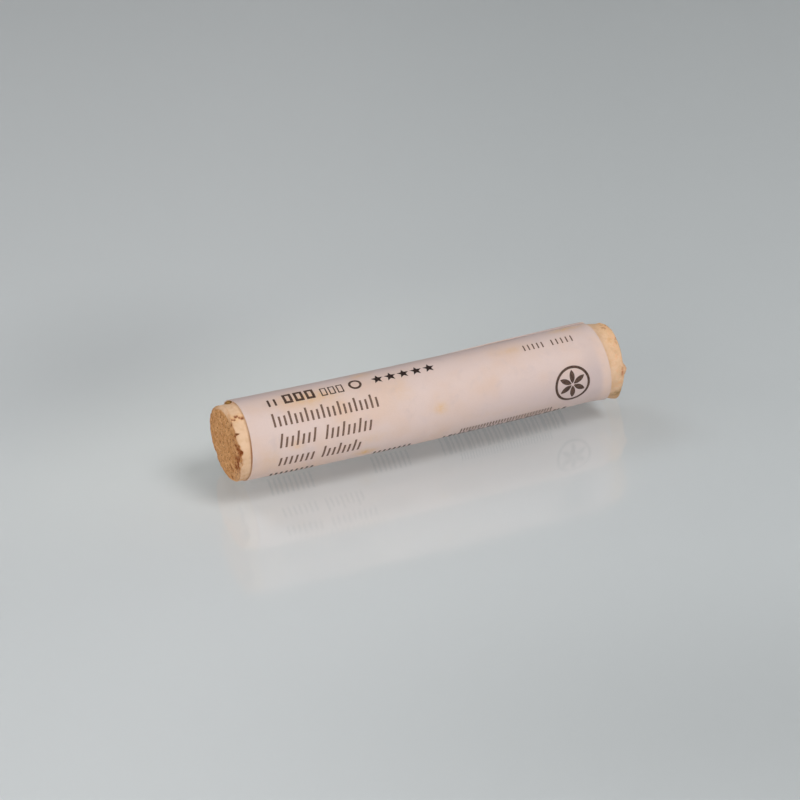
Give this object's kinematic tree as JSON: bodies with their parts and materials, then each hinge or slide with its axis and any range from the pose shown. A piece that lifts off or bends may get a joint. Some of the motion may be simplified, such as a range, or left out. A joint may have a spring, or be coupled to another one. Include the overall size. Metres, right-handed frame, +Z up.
{
  "type": "soft pastel stick",
  "caption": "Round soft pastel stick with a rough worn face, lying in a loose printed paper sleeve that leaves both ends bare.",
  "frame": {"origin": "middle of the stick's length and width, on the surface that it lies on", "axes": "+X along the stick towards its far end with the flake, +Z up, so that -Y is the side with the print"},
  "size_m": [0.066, 0.0127, 0.0127],
  "materials": {
    "pastel": "matt pressed powder",
    "sleeve_paper": "thin uncoated paper, stained by the pigment",
    "ink": "matt printing ink"
  },
  "bodies": {
    "root": {"pastel_stick": "pastel", "paper_sleeve": "sleeve_paper", "sleeve_print": "ink"}
  },
  "joints": []
}
